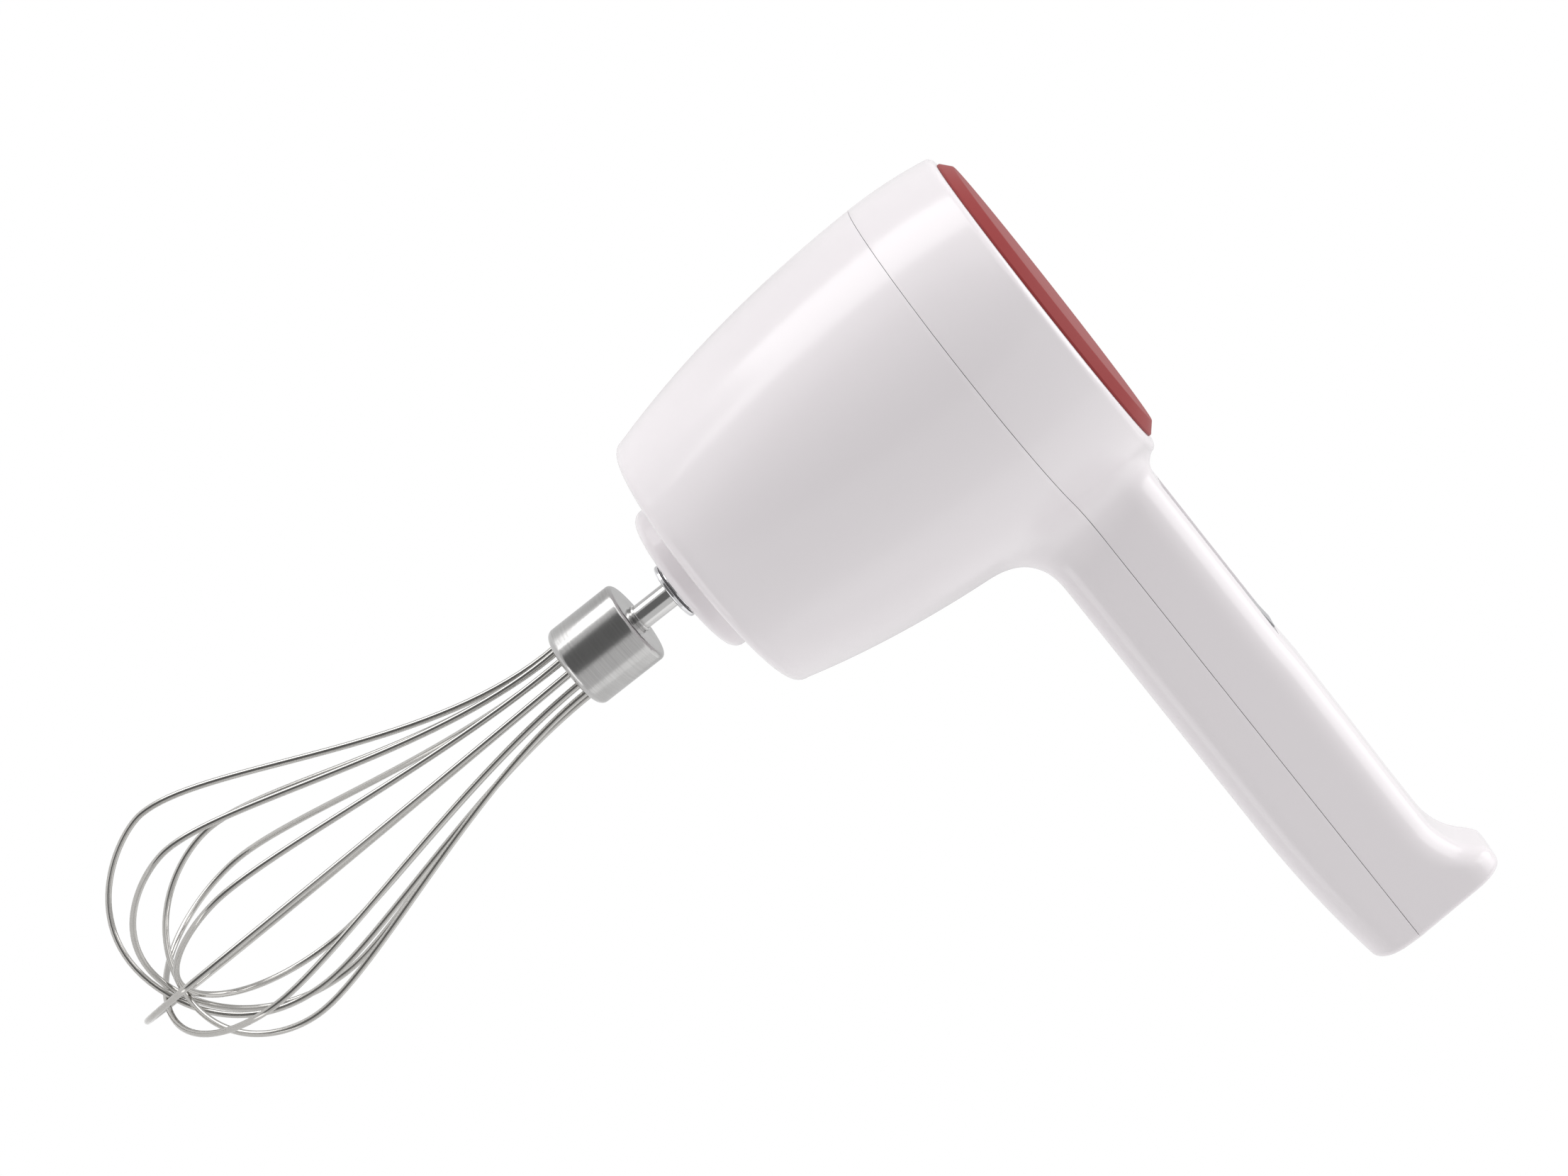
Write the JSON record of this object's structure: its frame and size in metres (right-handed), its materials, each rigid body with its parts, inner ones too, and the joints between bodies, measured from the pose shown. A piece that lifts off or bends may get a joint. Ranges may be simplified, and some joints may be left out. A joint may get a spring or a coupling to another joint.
{
  "type": "hand mixer",
  "caption": "Cordless L-shaped hand mixer: round motor head with a red top panel, flared straight handle, one plug-in balloon whisk.",
  "frame": {"origin": "centre of the red panel's flat top, on the spindle's axis; the mixer is put down on this panel and the handle's tip", "axes": "+Z along the spindle's axis, out of the panel and away from the whisk; +X towards the handle's end"},
  "size_m": [0.2177, 0.0894, 0.2764],
  "materials": {
    "shell_white": "glossy moulded plastic",
    "panel_red": "deep gloss",
    "button_grey": "satin",
    "polished_steel": "polished",
    "satin_steel": "satin",
    "plain_steel": "plain",
    "black_plastic": "moulded",
    "gear_plastic": "moulded",
    "board_green": "solder mask",
    "cell_wrap": "shrink sleeve",
    "copper": "enamelled wire",
    "bronze": "sintered",
    "black_rubber": "moulded"
  },
  "bodies": {
    "housing": {"upper_shell": "shell_white", "lower_shell": "shell_white", "top_panel": "panel_red", "control_bezel": "button_grey", "switch_board": "board_green", "tact_switches": "black_plastic", "battery_cell_1": "cell_wrap", "battery_cell_2": "cell_wrap", "battery_cradle": "black_plastic", "battery_tabs": "plain_steel", "charge_board": "board_green", "usb_socket": "plain_steel", "control_board": "board_green", "shell_screws": "plain_steel", "motor_can": "plain_steel", "motor_end_cap": "black_plastic", "motor_magnets": "plain_steel", "motor_brushes": "black_plastic", "motor_bushes": "bronze", "motor_screws": "plain_steel", "motor_damper": "black_rubber", "motor_plate": "plain_steel", "gearbox_housing": "black_plastic", "gearbox_screws": "plain_steel", "output_bearing": "plain_steel", "spindle_seal": "black_rubber"},
    "spindle": {"output_spindle": "plain_steel", "planet_carrier": "plain_steel", "planet_pins": "plain_steel", "grip_ring": "plain_steel", "drive_collar": "polished_steel"},
    "rotor": {"motor_shaft": "plain_steel", "armature_core": "plain_steel", "armature_windings": "copper", "commutator": "copper", "sun_pinion": "bronze"},
    "planet_1": {"planet_gear_1": "gear_plastic"},
    "planet_2": {"planet_gear_2": "gear_plastic"},
    "planet_3": {"planet_gear_3": "gear_plastic"},
    "whisk": {"whisk_shaft": "polished_steel", "shaft_clip": "plain_steel", "whisk_ferrule": "satin_steel", "whisk_core": "black_plastic", "whisk_loop_1": "polished_steel", "whisk_loop_2": "polished_steel", "whisk_loop_3": "polished_steel", "whisk_loop_4": "polished_steel", "whisk_loop_5": "polished_steel", "whisk_loop_6": "polished_steel"},
    "power_key": {"power_button": "button_grey"},
    "speed_key": {"speed_button": "button_grey"}
  },
  "joints": [
    {"name": "spindle_spin", "type": "hinge", "parent": "housing", "child": "spindle", "pos_m": [0, 0, -0.105], "axis": [0, 0, 1], "continuous": true},
    {"name": "rotor_spin", "type": "hinge", "parent": "housing", "child": "rotor", "pos_m": [0, 0, -0.06], "axis": [0, 0, 1], "continuous": true},
    {"name": "planet_1_spin", "type": "hinge", "parent": "spindle", "child": "planet_1", "pos_m": [0.0132, 0, -0.0905], "axis": [0, 0, 1], "continuous": true},
    {"name": "planet_2_spin", "type": "hinge", "parent": "spindle", "child": "planet_2", "pos_m": [-0.0066, 0.01143, -0.0905], "axis": [0, 0, 1], "continuous": true},
    {"name": "planet_3_spin", "type": "hinge", "parent": "spindle", "child": "planet_3", "pos_m": [-0.0066, -0.01143, -0.0905], "axis": [0, 0, 1], "continuous": true},
    {"name": "whisk_pull", "type": "slide", "parent": "spindle", "child": "whisk", "axis": [0, 0, -1], "range_m": [0, 0.04]},
    {"name": "power_button_press", "type": "slide", "parent": "housing", "child": "power_key", "axis": [0, 0, -1], "range_m": [0, 0.0008], "stiffness_N_per_m": 1250, "springref_m": -0.0012},
    {"name": "speed_button_press", "type": "slide", "parent": "housing", "child": "speed_key", "axis": [0, 0, -1], "range_m": [0, 0.0008], "stiffness_N_per_m": 1250, "springref_m": -0.0012}
  ],
  "couplings": [
    {"joint": "rotor_spin", "follows": "spindle_spin", "ratio": 4.4},
    {"joint": "planet_1_spin", "follows": "spindle_spin", "ratio": -2.8333},
    {"joint": "planet_2_spin", "follows": "spindle_spin", "ratio": -2.8333},
    {"joint": "planet_3_spin", "follows": "spindle_spin", "ratio": -2.8333}
  ]
}
